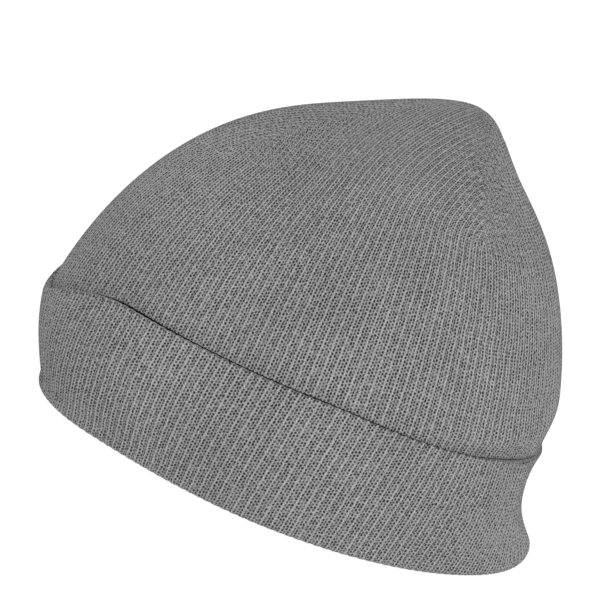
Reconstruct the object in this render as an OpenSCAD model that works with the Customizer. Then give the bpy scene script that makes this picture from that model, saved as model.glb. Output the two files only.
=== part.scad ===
// Knit beanie with a turned-up cuff. Sizes are in millimetres.
// The origin is the middle of the brim, +Z is up and the wearer faces -X.
// Angles round the beanie start at the back (+X): 180 is the front, 90 and 270 are the sides.

/* [Crown] */
// Half the crown's length, front to back
crown_half_length = 109; // [90:0.5:120]
// Half the crown's width, side to side
crown_half_width = 84; // [70:0.5:100]
// How much wider the back half is than the front half, as a fraction
egg_shape = 0.17; // [0:0.01:0.25]
// How far the crown's middle sits behind the brim's middle
crown_shift = -0.5; // [-20:0.5:20]
// Height of the dome, without its tip
dome_height = 152.5; // [130:0.5:200]
// How far the dome's top sits behind the brim's middle
tip_back = 14.5; // [0:0.5:70]
// How far the tip stands above the dome
tip_rise = 13.5; // [0:0.5:25]
// How far the tip leans toward the back
tip_lean = 11.5; // [0:0.5:16]
// Radius of the tip's rise
tip_radius = 27.5; // [6:0.5:40]
// How squarely the tip's rise falls off: 2 is bell-shaped, more is steeper
tip_fall = 2.05; // [1.5:0.05:5]
// Roundness of the dome's front: 2 is an ellipse, more is squarer
front_roundness = 2.2; // [1.6:0.05:3.5]
// Roundness of the dome's sides
side_roundness = 2.65; // [1.6:0.05:3.5]
// Roundness of the dome's back: less is more sloping
back_roundness = 2.15; // [1.2:0.05:3.5]

/* [Knit] */
// Thickness of one knitted wall
ply = 1.8; // [1:0.1:3]
// Gap between two walls that lie on each other
ply_gap = 0.3; // [0.2:0.05:1]
// Gap between the crown and its lining, with room for the seams' thread
lining_gap = 1.4; // [1.4:0.1:4]

/* [Cuff] */
// Cuff height at the back, back quarter, side, front quarter and front
cuff_heights = [45.5, 48.5, 54, 54, 38]; // [30:0.5:80]
// How far the cuff's foot stands out from the crown's plan, in the same five directions
foot_stand = [6.5, -0.5, 2.5, -4, -12]; // [-20:0.5:20]
// How far the cuff's middle stands out, in the same five directions
middle_stand = [-6.5, -0.5, 3, 3, -4.5]; // [-20:0.5:20]
// How far the cuff's top stands out, in the same five directions
top_stand = [-7, -4.5, 1, 0.5, -0.5]; // [-20:0.5:20]
// Clearance between the crown and the cuff round it
cuff_clearance = 0.8; // [0.3:0.1:3]
// Height over which the crown fills out above the cuff, in the same five directions
fill_out = [30, 18, 12, 12, 12]; // [5:1:40]
// Height of the turned lower edge
brim_height = 5; // [3:0.5:10]
// Radius of the turned lower edge's two corners
brim_corner = 3.2; // [1:0.1:4]

/* [Seams] */
// Number of dart seams that close the crown
darts = 4; // [3:1:6]
// Direction of the first dart seam, in degrees from the back
dart_turn = 32; // [-45:1:45]
// How much of the climb to the tip each dart seam takes, in degrees
dart_reach = 34; // [20:1:60]
// Thickness of the sewing thread
thread = 0.8; // [0.6:0.1:2]
// Radius of the ring of stitches that closes the crown's tip
closing_radius = 1.4; // [1:0.1:4]
// Thickness of the thread in that ring
closing_thread = 0.6; // [0.4:0.1:2]

/* [Part] */

/* [Hidden] */
knit_grey = [0.24, 0.24, 0.24];
lining_grey = [0.20, 0.20, 0.20];
thread_grey = [0.15, 0.15, 0.15];
sides = 72;            // points round the crown and the cuff
crown_rings = 25;      // rings from the brim to the tip, on each face of a crown wall
cuff_rings = 8;        // rings from the foot to the top, on each face of a cuff wall
corner_steps = 4;      // steps in a rounded corner
seam_steps = 12;       // steps along a dart seam
thread_sides = 6;      // points round a thread
tip_stop = 1.2;        // degrees of climb left open for the point at the tip
seam_start = 5;        // degrees of climb between the tip and the dart seams' upper ends
walls = 2 * ply + ply_gap;              // the cuff's two walls
crown_walls = 2 * ply + lining_gap;     // the crown's two walls
lining_inset = ply + lining_gap;        // from the crown's face to the lining's
wall_foot = brim_height + ply_gap;      // where the walls start above the brim fold
fold_radius = walls / 2;                // the cuff's top edge
turn = 360 / sides;
hold_steps = 8;        // levels at which the cuff is compared with the crown inside it
small_angle = 0.1;     // degrees, for taking the plan's direction
foot_level = 0.06;     // fractions of the cuff's height at which the three stands are set
middle_level = 0.5;
top_level = 0.93;

// ---- shares of back, front and side in a direction, and values between stations ----
function smooth(x) = let (c = min(max(x, 0), 1)) c * c * (3 - 2 * c);
function back_share(a) = smooth(cos(a));
function front_share(a) = smooth(-cos(a));
function by_side(a, front, side, back) =
    let (f = front_share(a), b = back_share(a)) front * f + side * (1 - f - b) + back * b;
function off_back(a) = abs((a + 180) % 360 - 180);
function by_station(a, stand) =
    let (t = off_back(a) / 45, i = min(floor(t), 3), f = smooth(t - i))
    stand[i] * (1 - f) + stand[i + 1] * f;

// ---- the crown's plan, its outward direction, and a point that far out from it ----
function plan_edge(a) =
    [crown_half_length * cos(a), crown_half_width * sin(a) * (1 + egg_shape * cos(a))];
function plan_way(a) =
    let (t = plan_edge(a + small_angle) - plan_edge(a - small_angle)) [t[1], -t[0]] / norm(t);
function plan_point(a, out) = [crown_shift, 0] + plan_edge(a) + out * plan_way(a);

// ---- cuff ----
function cuff_height(a) = by_station(a, cuff_heights);

// how far the cuff's outer face stands out from the crown's plan, from three levels
function cuff_stand(a, z) =
    let (t = z / cuff_height(a), p = foot_level, q = middle_level, r = top_level)
    by_station(a, foot_stand) * (t - q) * (t - r) / ((p - q) * (p - r))
    + by_station(a, middle_stand) * (t - p) * (t - r) / ((q - p) * (q - r))
    + by_station(a, top_stand) * (t - p) * (t - q) / ((r - p) * (r - q));

function cuff_point(a, z, depth) =
    let (p = plan_point(a, cuff_stand(a, z) - depth)) [p[0], p[1], z];

// ---- crown ----
// how far the crown wall is held in by the cuff: it stays inside every cuff level above it,
// so that the cuff can pass down over it
function hold_in(a, z) =
    let (h = cuff_height(a), low = min(z, h))
    max([for (k = [0 : hold_steps])
        walls + cuff_clearance - cuff_stand(a, low + (h - low) * k / hold_steps), 0])
    * (1 - smooth((z - h) / by_station(a, fill_out)));

function dome_power(a) = by_side(a, front_roundness, side_roundness, back_roundness);
function crown_climb(a, z, inset) =
    let (n = dome_power(a)) acos(pow(1 - pow(z / (dome_height - inset), n), 1 / n));
function crown_point(a, climb, inset) =
    let (n = dome_power(a),
         r = cos(climb),
         z = (dome_height - inset) * pow(1 - pow(r, n), 1 / n),
         p = plan_point(a, -hold_in(a, z) - inset),
         x = tip_back + (p[0] - tip_back) * r,
         y = p[1] * r,
         t = exp(-pow(norm([x - tip_back, y]) / tip_radius, tip_fall)))
    [x + tip_lean * t, y, z + tip_rise * t];

// ---- brim fold: its two faces and its section, as [share of the width, out, up] ----
function brim_outer(a) = cuff_stand(a, wall_foot);
function brim_inner(a) = -hold_in(a, wall_foot) - crown_walls;
brim_section = concat(
    [[0, 0, brim_height]],
    [for (s = [0 : corner_steps]) let (b = s * 90 / corner_steps)
        [0, -brim_corner * (1 - cos(b)), brim_corner * (1 - sin(b))]],
    [for (s = [0 : corner_steps]) let (b = s * 90 / corner_steps)
        [1, brim_corner * (1 - sin(b)), brim_corner * (1 - cos(b))]],
    [[1, 0, brim_height]]);

// ---- closed skins through rings of points ----
function mean_point(ring) = [for (k = [0 : 2]) [for (p = ring) p[k]] * [for (p = ring) 1] / len(ring)];
function band(first, second, n) =
    [for (i = [0 : n - 1]) let (j = (i + 1) % n)
        each [[first + i, first + j, second + j], [first + i, second + j, second + i]]];

// a tube of rings that ends in a point at both ends
module capped(rings) {
    n = len(rings[0]);
    last = len(rings) - 1;
    points = [for (r = rings) each r, mean_point(rings[0]), mean_point(rings[last])];
    polyhedron(points, [
        for (k = [0 : last - 1]) each band(k * n, (k + 1) * n, n),
        for (i = [0 : n - 1]) [(i + 1) % n, i, (last + 1) * n],
        for (i = [0 : n - 1]) [last * n + i, last * n + (i + 1) % n, (last + 1) * n + 1]
    ], convexity = 6);
}

// a hoop: the last ring joins the first
module hoop(rings) {
    n = len(rings[0]);
    count = len(rings);
    polyhedron([for (r = rings) each r],
               [for (k = [0 : count - 1]) each band(k * n, ((k + 1) % count) * n, n)],
               convexity = 6);
}

// one crown wall: its inner face from the tip down, then its outer face up to the tip
module crown_wall(inset) {
    function ring(t, deep) = [for (k = [0 : sides - 1])
        let (a = k * turn, low = crown_climb(a, wall_foot, deep))
        crown_point(a, low + (90 - tip_stop - low) * t, deep)];
    capped(concat(
        [for (k = [crown_rings : -1 : 0]) ring(k / crown_rings, inset + ply)],
        [for (k = [0 : crown_rings]) ring(k / crown_rings, inset)]));
}

// one cuff wall, from the brim fold up to the top fold
module cuff_wall(depth) {
    function ring(t, deep) = [for (k = [0 : sides - 1])
        let (a = k * turn, top = cuff_height(a) - fold_radius - ply_gap)
        cuff_point(a, wall_foot + (top - wall_foot) * t, deep)];
    hoop(concat(
        [for (k = [cuff_rings : -1 : 0]) ring(k / cuff_rings, depth + ply)],
        [for (k = [0 : cuff_rings]) ring(k / cuff_rings, depth)]));
}

// a thread through points, thick in the given radius
module thread_run(path, radius) {
    last = len(path) - 1;
    function along(i) = let (d = path[min(i + 1, last)] - path[max(i - 1, 0)]) d / norm(d);
    function across(i) = let (c = cross(along(i), [0, 0, 1])) c / norm(c);
    capped([for (i = [0 : last]) let (u = across(i), v = cross(along(i), u))
        [for (k = [0 : thread_sides - 1]) let (b = k * 360 / thread_sides)
            path[i] + radius * (cos(b) * u + sin(b) * v)]]);
}

// the dart seams' thread, laid between the crown's two walls, from the given turn
module dart_threads(first_turn) {
    for (k = [0 : darts - 1])
        let (a = first_turn + k * 360 / darts)
        thread_run([for (i = [0 : seam_steps])
            crown_point(a, 90 - seam_start - dart_reach * i / seam_steps, ply + lining_gap / 2)],
            thread / 2);
}

// the ring of stitches that draws a tip shut, laid between the crown's two walls
module closing_ring(radius) {
    lay = ply + lining_gap / 2;
    reach = tip_back - crown_shift + crown_half_length - lay;    // from the tip to the front
    translate([tip_back + tip_lean, 0, crown_point(180, acos(radius / reach), lay)[2]])
        rotate_extrude($fn = 32)
            translate([radius, 0]) circle(d = closing_thread, $fn = 12);
}

// ---- sub-parts ----
module crown_shell() color(knit_grey) crown_wall(0);
module crown_lining() color(lining_grey) crown_wall(lining_inset);
module cuff_outer_ply() color(knit_grey) cuff_wall(0);
module cuff_inner_ply() color(knit_grey) cuff_wall(ply + ply_gap);

// half-round roll that joins the cuff's two walls at the top
module cuff_top_fold() color(knit_grey)
    hoop([for (s = [0 : 2 * corner_steps]) let (b = s * 90 / corner_steps)
        [for (k = [0 : sides - 1]) let (a = k * turn, z = cuff_height(a) - fold_radius)
            let (p = plan_point(a, cuff_stand(a, z) - fold_radius + fold_radius * cos(b)))
            [p[0], p[1], z + fold_radius * sin(b)]]]);

// turned lower edge under all four walls, flat where it rests
module brim_fold() color(knit_grey)
    hoop([for (q = brim_section)
        [for (k = [0 : sides - 1]) let (a = k * turn)
            let (out = brim_outer(a) * (1 - q[0]) + brim_inner(a) * q[0] + q[1])
            let (p = plan_point(a, out))
            [p[0], p[1], q[2]]]]);

module crown_dart_seams() color(thread_grey) dart_threads(dart_turn);
module lining_dart_seams() color(thread_grey) dart_threads(dart_turn + 180 / darts);
module crown_closing_stitch() color(thread_grey) closing_ring(closing_radius);
module lining_closing_stitch() color(thread_grey) closing_ring(closing_radius + 2 * closing_thread);

crown_shell();
crown_lining();
cuff_outer_ply();
cuff_inner_ply();
cuff_top_fold();
brim_fold();
crown_dart_seams();
lining_dart_seams();
crown_closing_stitch();
lining_closing_stitch();
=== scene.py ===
"""Looks of the knit beanie: knitted walls laid over the CAD frame, in metres, +Z up, front toward -X."""

import math

import bpy
import numpy as np
from mathutils import Matrix, Vector


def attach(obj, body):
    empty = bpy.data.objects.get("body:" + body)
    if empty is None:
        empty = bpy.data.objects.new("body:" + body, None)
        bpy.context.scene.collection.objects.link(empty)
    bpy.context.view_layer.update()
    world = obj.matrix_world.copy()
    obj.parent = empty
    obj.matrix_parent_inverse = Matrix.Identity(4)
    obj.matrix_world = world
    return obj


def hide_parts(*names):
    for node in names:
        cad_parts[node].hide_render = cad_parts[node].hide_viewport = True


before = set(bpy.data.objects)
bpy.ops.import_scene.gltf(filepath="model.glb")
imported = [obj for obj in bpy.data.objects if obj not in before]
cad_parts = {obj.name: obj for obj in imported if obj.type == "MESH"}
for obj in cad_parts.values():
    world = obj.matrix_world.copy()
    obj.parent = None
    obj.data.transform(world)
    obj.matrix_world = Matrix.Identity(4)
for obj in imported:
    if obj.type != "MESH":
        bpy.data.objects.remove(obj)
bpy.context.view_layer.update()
MM = 0.001

# ---- the beanie's shape, in millimetres, as in the CAD part ----
CROWN_HALF_LENGTH, CROWN_HALF_WIDTH = 109, 84
EGG_SHAPE, CROWN_SHIFT = 0.17, -0.5
DOME_HEIGHT, TIP_BACK, TIP_RISE, TIP_LEAN, TIP_RADIUS, TIP_FALL = 152.5, 14.5, 13.5, 11.5, 27.5, 2.05
FRONT_ROUNDNESS, SIDE_ROUNDNESS, BACK_ROUNDNESS = 2.2, 2.65, 2.15
PLY, PLY_GAP, LINING_GAP = 1.8, 0.3, 1.4
CUFF_HEIGHTS = (45.5, 48.5, 54, 54, 38)
FOOT_STAND = (6.5, -0.5, 2.5, -4, -12)
MIDDLE_STAND = (-6.5, -0.5, 3, 3, -4.5)
TOP_STAND = (-7, -4.5, 1, 0.5, -0.5)
CUFF_CLEARANCE, ROLL_CLEARANCE, ROLL_OVERLAP = 0.8, 0.1, 0.4
ROLL_SQUARE = 0.3   # how squarely the rolled top turns: 1 is a half circle
# heights over which the crown fills out above the cuff, from the back round to the front
FILL_OUT = (24.0, 9.0, 3.0, 3.0, 6.0)
LEDGE, LIP = 0.9, 0.6   # the roll stands out past the crown by LEDGE, and its edge up by LIP
SHELF_RISE = 0.25    # height over which the crown comes out over the cuff's roll
SHELF_SHARE = (0.9, 1.0, 1.0, 1.0, 0.5)    # how much of the roll it covers, back to front
BRIM_HEIGHT, BRIM_CORNER = 5.0, 3.2
DART_TURN, DARTS = 32.0, 4       # degrees from the back to the first dart, and how many
NEAR_DART = math.radians(302)    # the dart that is pulled in most
LEVELS = (0.06, 0.5, 0.93)    # fractions of the cuff's height at which the three stands are set
HOLD_STEPS = 8       # levels at which the cuff is compared with the crown inside it
TIP_STOP = math.radians(89.2)    # climb at which the mesh stops short of the tip
CLIMB_STEPS = 961    # fine points up each column, from which the rows are taken
ROW_CROWD, CROWD_UP, CROWD_HALF = 5, 0.8, 2.4    # more rows just above the cuff: how many, where
WALLS = 2 * PLY + PLY_GAP
CROWN_WALLS = 2 * PLY + LINING_GAP
LINING_INSET = PLY + LINING_GAP
WALL_FOOT = BRIM_HEIGHT + PLY_GAP

# ---- the knit ----
CROWN_WALE = 4.15    # one rib and its gutter on the stretched crown
CUFF_WALE = 3.87     # and on the doubled cuff
FINE_STEPS = 7200    # steps round the plan, for even columns
COURSE = 1.36        # one row of stitches
COLUMNS = 5      # mesh columns in a rib
# the crest is painted lighter in the knit's grey, as a painted highlight
CREST = 0.11         # share of a rib taken by its smooth crest
RIB_DEPTH = 0.75     # how far a rib stands proud of its gutter
# sags: direction, height, half length in degrees, half height, climb per degree, depth
SAGS = ((306, 92, 14, 3.5, -0.35, 0.9), (300, 84, 16, 5.0, -0.2, 0.5), (330, 70, 16, 6.0, 0.2, 0.6),
        (214, 60, 12, 6.0, 0.3, 0.4))
CUFF_SAGS = ((314, 29, 9, 2.6, -0.75, 0.9), (306, 24, 7, 2.2, -0.7, 0.6), (232, 26, 9, 3.0, 0.6, 0.6))
# how far the cuff's ribs lean as they rise, back to front, about the height LEAN_MIDDLE
CUFF_LEAN = (0.0, 0.28, 0.15, 0.03, 0.0)
LEAN_MIDDLE = 25.0
RELAX = 0.66         # share of the way out from the tip at which the darts begin
DART_START, DART_END = 0.12, 0.22    # shares of the way out over which a dart comes in and fades
GROOVE_HALF, GROOVE_DEPTH = 1.5, 1.6     # a dart's seam line
PUCKER_HALF, PUCKER_DEPTH = 9.0, 0.6     # the cloth drawn in on both sides of it
FAR_DARTS, NEAR_SPREAD = 0.3, 0.45   # depth of the other darts, and radians over which it changes
CLEAR_OF_ROLL = 2.0  # height above the cuff at which the crown's ribs have their full depth
ROLL_RIBS = 0.35     # share of the rib depth on the roll and the cuff's inner wall
CROWN_WAVES = (70.0, 0.3, 3)    # length, depth and seed of the soft unevenness
CUFF_WAVES = (60.0, 0.35, 5)
SWAY_ACROSS, SWAY_ALONG = 0.14, 0.8     # how far the stitches wander, in wales and courses
JITTER_ACROSS, JITTER_ALONG = 0.20, 0.22     # how far a hole may lie off its place in its cell
# the holes are painted dark in the knit's grey, as painted shade in the gaps between stitches
HOLE_ACROSS, HOLE_ALONG = 0.50, 0.52         # half sizes of a hole, as shares of its cell


def smooth(x):
    x = np.clip(x, 0.0, 1.0)
    return x * x * (3.0 - 2.0 * x)


def by_side(a, front, side, back):
    f, b = smooth(-np.cos(a)), smooth(np.cos(a))
    return front * f + side * (1.0 - f - b) + back * b


def by_station(a, values):
    t = np.abs((a + math.pi) % (2 * math.pi) - math.pi) / (math.pi / 4)
    i = np.minimum(t.astype(int), 3)
    f = smooth(t - i)
    v = np.asarray(values, float)
    return v[i] * (1.0 - f) + v[i + 1] * f


def cuff_height(a):
    return by_station(a, CUFF_HEIGHTS)


def cuff_stand(a, z):
    t = z / cuff_height(a)
    p, q, r = LEVELS
    return (by_station(a, FOOT_STAND) * (t - q) * (t - r) / ((p - q) * (p - r))
            + by_station(a, MIDDLE_STAND) * (t - p) * (t - r) / ((q - p) * (q - r))
            + by_station(a, TOP_STAND) * (t - p) * (t - q) / ((r - p) * (r - q)))


def plan(a):
    return (CROWN_HALF_LENGTH * np.cos(a),
            CROWN_HALF_WIDTH * np.sin(a) * (1.0 + EGG_SHAPE * np.cos(a)))


def plan_way(a):
    step = 0.004
    x1, y1 = plan(a + step)
    x0, y0 = plan(a - step)
    tx, ty = x1 - x0, y1 - y0
    n = np.hypot(tx, ty)
    return ty / n, -tx / n


def plan_point(a, out):
    x, y = plan(a)
    wx, wy = plan_way(a)
    return CROWN_SHIFT + x + out * wx, y + out * wy


def hold_in(a, z, inset=0.0):
    """How far the crown is held in at height z: inside the cuff's walls, then close over its roll.
    Faces set further in come out over the roll that much higher, so the walls keep apart."""
    h = cuff_height(a)
    roll = WALLS / 2
    low = np.minimum(z, h)
    held = np.zeros_like(low)
    for k in range(HOLD_STEPS + 1):
        held = np.maximum(held, WALLS + CUFF_CLEARANCE
                          - cuff_stand(a, low + (h - low) * k / HOLD_STEPS))
    up = np.clip((z - h + roll + ROLL_OVERLAP) / roll, 0.0, 1.0)
    over = held - (CUFF_CLEARANCE - ROLL_CLEARANCE) * smooth(up) - roll * (1.0 - np.sqrt(1.0 - up ** 2))
    over = np.maximum(over, 0.0)
    shelf = np.minimum(over, (WALLS + CUFF_CLEARANCE - LEDGE) * by_station(a, SHELF_SHARE))
    above = z - h - inset
    return (shelf * (1.0 - smooth(above / SHELF_RISE))
            + (over - shelf) * (1.0 - smooth(above / by_station(a, FILL_OUT))))


def crown_point(a, climb, inset):
    n = by_side(a, FRONT_ROUNDNESS, SIDE_ROUNDNESS, BACK_ROUNDNESS)
    r = np.cos(climb)
    z = (DOME_HEIGHT - inset) * (1.0 - r ** n) ** (1.0 / n)
    h = hold_in(a, z, inset) + inset
    x, y = plan(a)
    wx, wy = plan_way(a)
    x = TIP_BACK + (CROWN_SHIFT + x - h * wx - TIP_BACK) * r
    y = (y - h * wy) * r
    tip = np.exp(-(np.hypot(x - TIP_BACK, y) / TIP_RADIUS) ** TIP_FALL)
    return np.stack([x + TIP_LEAN * tip, y, z + TIP_RISE * tip], -1)


def crown_climb(a, z, inset):
    n = by_side(a, FRONT_ROUNDNESS, SIDE_ROUNDNESS, BACK_ROUNDNESS)
    return np.arccos((1.0 - (z / (DOME_HEIGHT - inset)) ** n) ** (1.0 / n))


# ---- columns round the beanie: even steps of cloth between one dart seam and the next ----
class Columns:
    """Where the mesh columns stand, and which wale of the cloth each one carries."""

    def __init__(self, wale):
        fine = np.radians(DART_TURN) + np.linspace(0, 2 * math.pi, FINE_STEPS + 1)
        x, y = plan(fine)
        run = np.concatenate([[0], np.cumsum(np.hypot(np.diff(x), np.diff(y)))])
        angles, gores, lefts, rights, counts, mids = [], [], [], [], [], []
        self.total = 0
        for k in range(DARTS):
            lo, hi = run[k * FINE_STEPS // DARTS], run[(k + 1) * FINE_STEPS // DARTS]
            count = int(round((hi - lo) / wale))
            edge = np.linspace(-1, 1, count * COLUMNS + 1)
            angles += list(np.interp(lo + (hi - lo) * (edge[:-1] + 1) / 2, run, fine))
            gores += [k] * (count * COLUMNS)
            lefts += list(edge[:-1])
            rights += list(edge[1:])
            counts.append(count)
            mids.append(self.total + count / 2)
            self.total += count
        self.angle = np.array(angles)
        self.left, self.right = np.array(lefts)[:, None], np.array(rights)[:, None]
        self.half = np.array(counts, float)[gores][:, None] / 2
        self.mid = np.array(mids)[gores][:, None]
        self.wale = wale


crown_columns = Columns(CROWN_WALE)
cuff_columns = Columns(CUFF_WALE)


def rib(w):
    """Height of the rib pattern from 0 in the gutter to 1 on the rib, at wale count w."""
    p = w % 1.0
    return smooth((0.5 - np.abs(p - 0.5)) / 0.30)


def grid_normals(points):
    """Outward normals of a (round, up, 3) grid that runs round the beanie first."""
    round_way = np.roll(points, -1, 0) - np.roll(points, 1, 0)
    up_way = np.gradient(points, axis=1)
    n = np.cross(round_way, up_way)
    return n / np.maximum(np.linalg.norm(n, axis=-1, keepdims=True), 1e-9)


def waves(points, size, depth, seed):
    """Soft unevenness: a few slow waves through space, the same for every call with one seed."""
    local = np.random.default_rng(seed)
    out = np.zeros(points.shape[:-1])
    for k in range(7):
        way = local.normal(size=3)
        way /= np.linalg.norm(way)
        length = size * local.uniform(0.7, 1.5)
        out += np.sin(points @ way * 2 * math.pi / length + local.uniform(0, 6.28))
    return out * depth / 7 ** 0.5


# ---- meshes from rings ----
def build_mesh(name, grids, closed, caps):
    """One closed skin from column grids, each (round, rows, 3), joined in order.
    Each grid comes with its wale counts at the left and right of every column, and its courses."""
    points = np.concatenate([g[0] for g in grids], 1)
    left = np.concatenate([g[1] for g in grids], 1)
    right = np.concatenate([g[2] for g in grids], 1)
    courses = np.concatenate([g[3] for g in grids], 1)
    n, rows = points.shape[:2]
    verts = points.transpose(1, 0, 2).reshape(-1, 3) * MM
    i = np.arange(n)
    j = (i + 1) % n
    faces, us, vs = [], [], []
    count = rows if closed else rows - 1
    for k in range(count):
        m = (k + 1) % rows
        faces.append(np.stack([k * n + i, k * n + j, m * n + j, m * n + i], 1))
        us.append(np.stack([left[:, k], right[:, k], right[:, m], left[:, m]], 1))
        vs.append(np.stack([courses[i, k], courses[j, k], courses[j, m], courses[i, m]], 1))
    faces, us, vs = np.concatenate(faces), np.concatenate(us), np.concatenate(vs)
    tri = None
    if caps:
        ends = np.stack([points[:, 0].mean(0), points[:, -1].mean(0)]) * MM
        first, last = len(verts), len(verts) + 1
        verts = np.concatenate([verts, ends])
        tri = np.concatenate([np.stack([j, i, np.full(n, first)], 1),
                              np.stack([(rows - 1) * n + i, (rows - 1) * n + j, np.full(n, last)], 1)])
        tu = np.concatenate([np.stack([right[:, 0], left[:, 0], left[:, 0]], 1),
                             np.stack([left[:, -1], right[:, -1], left[:, -1]], 1)])
        tv = np.concatenate([np.stack([courses[j, 0], courses[i, 0], courses[i, 0]], 1),
                             np.stack([courses[i, -1], courses[j, -1], courses[i, -1]], 1)])
    mesh = bpy.data.meshes.new(name)
    loops = faces.reshape(-1)
    starts = np.arange(len(faces)) * 4
    uv = np.stack([us.reshape(-1), vs.reshape(-1)], 1)
    if tri is not None:
        starts = np.concatenate([starts, len(loops) + np.arange(len(tri)) * 3])
        loops = np.concatenate([loops, tri.reshape(-1)])
        uv = np.concatenate([uv, np.stack([tu.reshape(-1), tv.reshape(-1)], 1)])
    mesh.vertices.add(len(verts))
    mesh.vertices.foreach_set("co", verts.astype(np.float32).reshape(-1))
    mesh.loops.add(len(loops))
    mesh.loops.foreach_set("vertex_index", loops.astype(np.int32))
    mesh.polygons.add(len(starts))
    mesh.polygons.foreach_set("loop_start", starts.astype(np.int32))
    mesh.update(calc_edges=True)
    layer = mesh.uv_layers.new(name="knit")
    layer.data.foreach_set("uv", uv.astype(np.float32).reshape(-1))
    mesh.polygons.foreach_set("use_smooth", np.ones(len(starts), bool))
    mesh.validate()
    mesh.update()
    piece = bpy.data.objects.new(name, mesh)
    bpy.context.scene.collection.objects.link(piece)
    return piece


def crown_grid(inset, rows, outward, flip):
    """One face of a crown wall as a column grid, from the foot to the tip (or down if flip)."""
    cols = crown_columns
    a = cols.angle
    low = crown_climb(a, WALL_FOOT, inset)[:, None]
    share = np.linspace(0, 1, CLIMB_STEPS)[None, :]
    climb = low + (TIP_STOP - low) * share
    fine = crown_point(np.broadcast_to(a[:, None], climb.shape), climb, inset)
    step = np.linalg.norm(np.diff(fine, axis=1), axis=-1)
    run = np.concatenate([np.zeros((len(a), 1)), np.cumsum(step, 1)], 1)
    # rows stand closer together where the crown comes out over the cuff's top
    above = (fine[:, 1:, 2] - cuff_height(a)[:, None] - CROWD_UP) / CROWD_HALF
    crowded = step * (1 + ROW_CROWD * np.exp(-above ** 2))
    spread = np.concatenate([np.zeros((len(a), 1)), np.cumsum(crowded, 1)], 1)
    f = np.linspace(0, 1, rows + 1)
    lengths = np.empty((len(a), rows + 1))
    points = np.empty((len(a), rows + 1, 3))
    reach = np.empty((len(a), rows + 1))
    for i in range(len(a)):
        at = f * spread[i, -1]
        for c in range(3):
            points[i, :, c] = np.interp(at, spread[i], fine[i, :, c])
        reach[i] = np.interp(at, spread[i], np.cos(climb[i]))
        lengths[i] = np.interp(at, spread[i], run[i])
    courses = lengths / COURSE
    # the wales keep their pitch near the tip, so the darts cut them off one by one
    half = cols.half * smooth_min(reach / RELAX)
    left, right = cols.mid + cols.left * half, cols.mid + cols.right * half
    normals = grid_normals(points)
    dart = smooth((RELAX - reach) / DART_START) * smooth(reach / DART_END)
    from_seam = (1.0 - np.abs(cols.left)) * half * cols.wale
    groove = np.exp(-(from_seam / GROOVE_HALF) ** 2) * dart
    pucker = np.exp(-(from_seam / PUCKER_HALF) ** 2) * dart
    turn = (a[:, None] - NEAR_DART + math.pi) % (2 * math.pi) - math.pi
    dart_depth = FAR_DARTS + (1.0 - FAR_DARTS) * np.exp(-(turn / NEAR_SPREAD) ** 2)
    free = smooth((points[..., 2] - cuff_height(a)[:, None]) / CLEAR_OF_ROLL)
    push = (RIB_DEPTH * (rib(left) - 1.0) * (1.0 - groove)
            - dart_depth * (GROOVE_DEPTH * groove + PUCKER_DEPTH * pucker)
            + waves(points, *CROWN_WAVES) + dents(a[:, None], points[..., 2], SAGS)) * outward * free
    edge = smooth((f / 0.02))[None, :] * smooth((1.0 - f) / 0.01)[None, :]
    points = points + normals * (push * edge)[..., None]
    out = [points, left, right, courses]
    return [x[:, ::-1] for x in out] if flip else out


def dents(a, z, sags):
    """Shallow sags in a soft wall, each at a direction and height, long and low."""
    depth = np.zeros(np.broadcast(a, z).shape)
    for turn, height, half_turn, half_height, slope, deep in sags:
        round_way = (np.degrees(a) - turn + 180.0) % 360.0 - 180.0
        rise = z - height - slope * round_way
        depth -= deep * np.exp(-(round_way / half_turn) ** 2 - (rise / half_height) ** 2)
    return depth


def smooth_min(x, soft=0.06):
    """The lesser of x and 1, rounded where they meet."""
    h = np.clip(0.5 + (1.0 - x) / (2 * soft), 0, 1)
    return x * h + 1.0 * (1 - h) - soft * h * (1 - h)


def crown_wall(name, inset, rows):
    inner = crown_grid(inset + PLY, rows // 4, -1.0, True)
    outer = crown_grid(inset, rows, 1.0, False)
    return build_mesh(name, [inner, outer], closed=False, caps=True)


ROWS = 104
crown_knit = crown_wall("crown_knit", 0.0, ROWS)
lining_knit = crown_wall("lining_knit", LINING_INSET, ROWS * 2 // 3)


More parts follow.
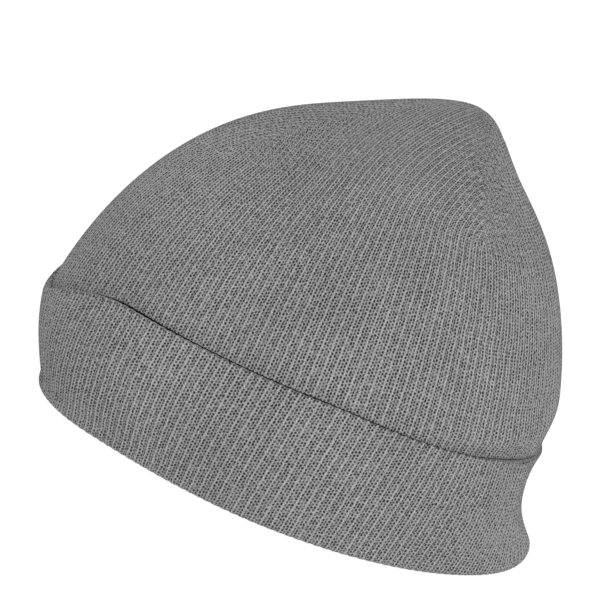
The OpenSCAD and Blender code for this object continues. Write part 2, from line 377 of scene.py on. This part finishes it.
# ---- the cuff: inner wall, rolled top, outer wall and turned lower edge in one section ----
def cuff_section(a):
    """Points (out, z) of the cuff's section at the angles a."""
    h = cuff_height(a)
    fold = WALLS / 2
    outs, zs = [], []

    def add(out, z):
        outs.append(out)
        zs.append(z)

    inner_steps, roll_steps, outer_steps, corner_steps = 14, 14, 34, 6
    for t in np.linspace(0, 1, inner_steps, endpoint=False):       # inner wall, going up
        z = BRIM_HEIGHT + (h - fold - BRIM_HEIGHT) * t
        add(cuff_stand(a, z) - WALLS, z)
    for t in np.linspace(math.pi, 0, roll_steps):                  # rolled top
        z = h - fold
        c, s = math.cos(t), max(math.sin(t), 0.0)
        add(cuff_stand(a, z) - fold + fold * math.copysign(abs(c) ** ROLL_SQUARE, c),
            z + (fold + LIP * float(smooth((c - 0.3) / 0.3))) * s ** ROLL_SQUARE)
    for t in np.linspace(0, 1, outer_steps)[1:-1]:                 # outer wall, going down
        z = h - fold + (BRIM_CORNER - h + fold) * t
        add(cuff_stand(a, np.maximum(z, WALL_FOOT)), z)
    foot = cuff_stand(a, np.full_like(h, WALL_FOOT))
    for t in np.linspace(0, math.pi / 2, corner_steps):            # outer corner
        add(foot - BRIM_CORNER * (1 - math.cos(t)), BRIM_CORNER * (1 - math.sin(t)) + 0 * h)
    inside = -hold_in(a, np.full_like(h, WALL_FOOT)) - CROWN_WALLS
    for t in np.linspace(0, 1, 6)[1:-1]:                           # underside
        add((foot - BRIM_CORNER) * (1 - t) + (inside + BRIM_CORNER) * t, 0 * h)
    for t in np.linspace(0, math.pi / 2, corner_steps):            # inner corner
        add(inside + BRIM_CORNER * (1 - math.sin(t)), BRIM_CORNER * (1 - math.cos(t)) + 0 * h)
    add(inside, BRIM_HEIGHT + 0 * h)
    add((inside + foot - WALLS) / 2, BRIM_HEIGHT + 0 * h)
    add(foot - WALLS - 0.6, BRIM_HEIGHT + 0 * h)
    return np.stack(outs, 1), np.stack(zs, 1)


def cuff_wall(name):
    cols = cuff_columns
    outs, zs = cuff_section(cols.angle)
    x, y = plan_point(np.broadcast_to(cols.angle[:, None], outs.shape), outs)
    points = np.stack([x, y, zs], -1)
    step = np.linalg.norm(np.diff(points, axis=1), axis=-1)
    courses = np.concatenate([np.zeros((len(x), 1)), np.cumsum(step, 1)], 1) / COURSE
    lean = by_station(cols.angle, CUFF_LEAN) * np.sign(np.sin(cols.angle))
    shift = lean[:, None] * (zs - LEAN_MIDDLE) / cols.wale
    left = cols.mid + cols.left * cols.half + shift
    right = cols.mid + cols.right * cols.half + np.roll(shift, -1, 0)
    up = np.roll(points, -1, 1) - np.roll(points, 1, 1)
    around = np.roll(points, -1, 0) - np.roll(points, 1, 0)
    n = np.cross(up, around)
    n /= np.maximum(np.linalg.norm(n, axis=-1, keepdims=True), 1e-9)
    outer = smooth((outs - cuff_stand(cols.angle[:, None], np.maximum(zs, WALL_FOOT)) + 0.5) / 0.5)
    push = (RIB_DEPTH * (rib(left) - 1.0) * (ROLL_RIBS + (1.0 - ROLL_RIBS) * outer)
            + outer * (waves(points, *CUFF_WAVES) + dents(cols.angle[:, None], zs, CUFF_SAGS)))
    points = points + n * push[..., None] * np.where(zs < 0.01, 0.0, 1.0)[..., None]
    points[..., 2] = np.maximum(points[..., 2], 0.0)
    grid = [g[:, ::-1] for g in (points, left, right, courses)]
    return build_mesh(name, [grid], closed=True, caps=False)


cuff_knit = cuff_wall("cuff_knit")


# ---- materials ----
class Nodes:
    """Short ways to add the nodes that a knit needs to a material."""

    def __init__(self, name):
        self.mat = bpy.data.materials.new(name)
        self.mat.use_nodes = True
        self.tree = self.mat.node_tree
        self.tree.nodes.clear()

    def add(self, kind, **inputs):
        node = self.tree.nodes.new(kind)
        for key, value in inputs.items():
            self.put(node, key.replace("_", " "), value)
        return node

    def put(self, node, socket, value):
        if hasattr(value, "is_output"):
            self.tree.links.new(value, node.inputs[socket])
        else:
            node.inputs[socket].default_value = value

    def math(self, op, *values, clamp=False):
        node = self.tree.nodes.new("ShaderNodeMath")
        node.operation = op
        node.use_clamp = clamp
        for k, value in enumerate(values):
            self.put(node, k, value)
        return node.outputs[0]

    def noise(self, place, scale, detail):
        return self.add("ShaderNodeTexNoise", Vector=place, Scale=scale, Detail=detail).outputs["Fac"]


def knit_material(name, shade_to_highlight_greys):
    """Rib knit drawn from the wale and course counts: a smooth crest on each rib, and three
    columns of holes between one crest and the next, each column half a course off the last.
    One height field gives both the bump and the grey, so the holes carry painted shade and the crests a
    painted highlight."""
    n = Nodes(name)
    m = n.math
    place = n.add("ShaderNodeTexCoord").outputs["Object"]
    uv = n.add("ShaderNodeUVMap")
    uv.uv_map = "knit"
    split = n.add("ShaderNodeSeparateXYZ", Vector=uv.outputs[0])
    sway = n.noise(place, 260.0, 2.0)
    sway_up = n.noise(place, 330.0, 2.0)
    u = m("MULTIPLY_ADD", m("SUBTRACT", sway, 0.5), SWAY_ACROSS, split.outputs[0])
    v = m("MULTIPLY_ADD", m("SUBTRACT", sway_up, 0.5), SWAY_ALONG, split.outputs[1])

    wale = m("FLOOR", m("ADD", u, 0.5 + CREST / 2))
    p = m("SUBTRACT", m("ADD", u, 0.5 + CREST / 2), wale)
    on_crest = m("LESS_THAN", p, CREST)
    k_hole = m("DIVIDE", m("SUBTRACT", p, CREST), (1.0 - CREST) / 3)
    k_crest = m("DIVIDE", p, CREST)
    change = m("SUBTRACT", m("SUBTRACT", k_crest, k_hole), 1.0)
    k = m("MULTIPLY_ADD", on_crest, change, m("ADD", k_hole, 1.0))
    column = m("FLOOR", k)
    staggered = m("MULTIPLY_ADD", m("MODULO", column, 2.0), 0.5, v)
    cell = n.add("ShaderNodeCombineXYZ", X=m("MULTIPLY_ADD", wale, 4.0, column),
                 Y=m("FLOOR", staggered)).outputs[0]
    chance = n.add("ShaderNodeTexWhiteNoise", Vector=cell)
    parts = n.add("ShaderNodeSeparateXYZ", Vector=chance.outputs["Color"])
    across = m("SUBTRACT", m("SUBTRACT", k, column), 0.5)
    along = m("SUBTRACT", m("FRACT", m("ADD", staggered, 4000.0)), 0.5)
    shifted = m("MULTIPLY_ADD", m("SUBTRACT", parts.outputs[0], 0.5), JITTER_ACROSS, across)
    off_across = m("DIVIDE", shifted, HOLE_ACROSS)
    shifted = m("MULTIPLY_ADD", m("SUBTRACT", parts.outputs[1], 0.5), JITTER_ALONG, along)
    off_along = m("DIVIDE", shifted, HOLE_ALONG)
    far = m("SQRT", m("ADD", m("MULTIPLY", off_across, off_across), m("MULTIPLY", off_along, off_along)))
    # the holes lower the height, which bumps the surface and also darkens the grey: painted shade
    hole = m("MULTIPLY", m("SUBTRACT", 1.0, far, clamp=True), 1.5, clamp=True)
    hole = m("MULTIPLY", hole, m("MULTIPLY_ADD", parts.outputs[2], 0.7, 0.55))
    hole = m("MULTIPLY", hole, m("MULTIPLY_ADD", on_crest, -0.7, 1.0))
    # the crest raises the height, which bumps it and lightens the grey: a painted highlight where the rib
    # catches the light
    crest = m("MULTIPLY", on_crest, m("SUBTRACT", 1.0, m("DIVIDE", m("ABSOLUTE", across), 0.5), clamp=True))
    fuzz = m("SUBTRACT", n.noise(place, 2400.0, 3.0), 0.5)
    height = m("MULTIPLY_ADD", hole, -0.62, 0.62)
    broken = m("MULTIPLY", crest, m("MULTIPLY_ADD", parts.outputs[2], 0.9, 0.1))
    height = m("MULTIPLY_ADD", broken, 0.24, height)
    height = m("MULTIPLY_ADD", fuzz, 0.75, height)

    patch = m("SUBTRACT", n.noise(place, 26.0, 4.0), 0.5)
    # the grey follows the height plus random patches of tone: painted shade in the holes, painted highlight
    # on the crests
    painted_light_and_tone = m("MULTIPLY_ADD", patch, 0.14, height)
    ramp = n.add("ShaderNodeValToRGB", Fac=painted_light_and_tone)
    stops = ramp.color_ramp.elements
    for stop, (at, grey) in zip((stops[0], stops.new(0.5), stops[-1]), shade_to_highlight_greys):
        stop.position = at
        stop.color = (grey, grey, grey, 1)
    bump = n.add("ShaderNodeBump", Height=height, Strength=0.7, Distance=0.0005)
    skin = n.add("ShaderNodeBsdfPrincipled", Roughness=0.92, Normal=bump.outputs[0])
    n.put(skin, "Base Color", ramp.outputs[0])
    n.put(skin, "Specular IOR Level", 0.2)
    n.put(skin, "Sheen Weight", 0.15)
    n.put(skin, "Sheen Roughness", 0.5)
    n.add("ShaderNodeOutputMaterial", Surface=skin.outputs[0])
    return n.mat


# the ramp's greys, low to high: painted shade in the holes, the yarn's grey, and the painted highlight on
# the crests
knit = knit_material("grey_knit", ((0.05, 0.015), (0.5, 0.18), (0.9, 0.56)))
lining_cloth = knit_material("grey_knit_lining", ((0.05, 0.012), (0.5, 0.145), (0.9, 0.44)))
thread_mat = bpy.data.materials.new("grey_thread")
thread_mat.use_nodes = True
thread_skin = thread_mat.node_tree.nodes["Principled BSDF"]
thread_skin.inputs["Base Color"].default_value = (0.15, 0.15, 0.15, 1)
thread_skin.inputs["Roughness"].default_value = 0.85

for piece, body, mat, nodes in (
        (crown_knit, "crown", knit, ["crown_shell"]),
        (lining_knit, "crown", lining_cloth, ["crown_lining"]),
        (cuff_knit, "cuff", knit, ["cuff_outer_ply", "cuff_inner_ply", "cuff_top_fold", "brim_fold"])):
    piece.data.materials.append(mat)
    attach(piece, body)
    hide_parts(*nodes)
for name in ("crown_dart_seams", "lining_dart_seams", "crown_closing_stitch", "lining_closing_stitch"):
    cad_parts[name].data.materials.clear()
    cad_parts[name].data.materials.append(thread_mat)


# ---- floor, light and camera ----
floor_mesh = bpy.data.meshes.new("floor")
far = 6.0
floor_mesh.from_pydata([(-far, -far, 0), (far, -far, 0), (far, far, 0), (-far, far, 0)], [], [(0, 1, 2, 3)])
floor = bpy.data.objects.new("floor", floor_mesh)
bpy.context.scene.collection.objects.link(floor)
floor.location.z = -0.0005
floor_mat = bpy.data.materials.new("pale_floor")
floor_mat.use_nodes = True
floor_skin = floor_mat.node_tree.nodes["Principled BSDF"]
floor_skin.inputs["Base Color"].default_value = (0.12, 0.12, 0.12, 1)
floor_skin.inputs["Roughness"].default_value = 0.9
floor_skin.inputs["Specular IOR Level"].default_value = 0.0
floor_skin.inputs["Emission Color"].default_value = (1, 1, 1, 1)
floor_skin.inputs["Emission Strength"].default_value = 0.95
floor_mesh.materials.append(floor_mat)

world = bpy.data.worlds.new("soft_room")
bpy.context.scene.world = world
world.use_nodes = True
world.node_tree.nodes["Background"].inputs["Color"].default_value = (1, 1, 1, 1)
world.node_tree.nodes["Background"].inputs["Strength"].default_value = 0.50


def soft_light(name, place, target, size, power):
    lamp = bpy.data.lights.new(name, "AREA")
    lamp.shape = "DISK"
    lamp.size = size
    lamp.energy = power
    holder = bpy.data.objects.new(name, lamp)
    bpy.context.scene.collection.objects.link(holder)
    holder.location = place
    holder.rotation_euler = (Vector(target) - Vector(place)).to_track_quat("-Z", "Y").to_euler()
    return holder


soft_light("key", (0.15, -1.7, 1.3), (0, 0, 0.08), 1.0, 30.0)
soft_light("fill", (0.5, 1.8, 1.3), (0, 0, 0.08), 1.4, 12.0)

# the camera stands at the wearer's left, a little to the front and above the brim, and is rolled
# so that the beanie's front rises, as it is worn
AZIMUTH, ELEVATION, ROLL = math.radians(-5.20), math.radians(14.22), math.radians(21.19)
DISTANCE, LENS, AIM_SIDE, AIM_UP = 1.271, 189.9637, -11.0, 67.1
back = Vector((math.sin(AZIMUTH) * math.cos(ELEVATION), -math.cos(AZIMUTH) * math.cos(ELEVATION),
               math.sin(ELEVATION)))
right = Vector((math.cos(AZIMUTH), math.sin(AZIMUTH), 0))
up = back.cross(right)
rolled_right = right * math.cos(ROLL) + up * math.sin(ROLL)
rolled_up = up * math.cos(ROLL) - right * math.sin(ROLL)
aim = right * AIM_SIDE * MM + Vector((0, 0, AIM_UP * MM))
camera_data = bpy.data.cameras.new("camera")
camera = bpy.data.objects.new("camera", camera_data)
bpy.context.scene.collection.objects.link(camera)
camera_data.sensor_width = 36.0
camera_data.lens = LENS
camera.matrix_world = Matrix((
    (rolled_right.x, rolled_up.x, back.x, aim.x + back.x * DISTANCE),
    (rolled_right.y, rolled_up.y, back.y, aim.y + back.y * DISTANCE),
    (rolled_right.z, rolled_up.z, back.z, aim.z + back.z * DISTANCE),
    (0, 0, 0, 1)))
bpy.context.scene.camera = camera
bpy.context.scene.view_settings.view_transform = "Standard"
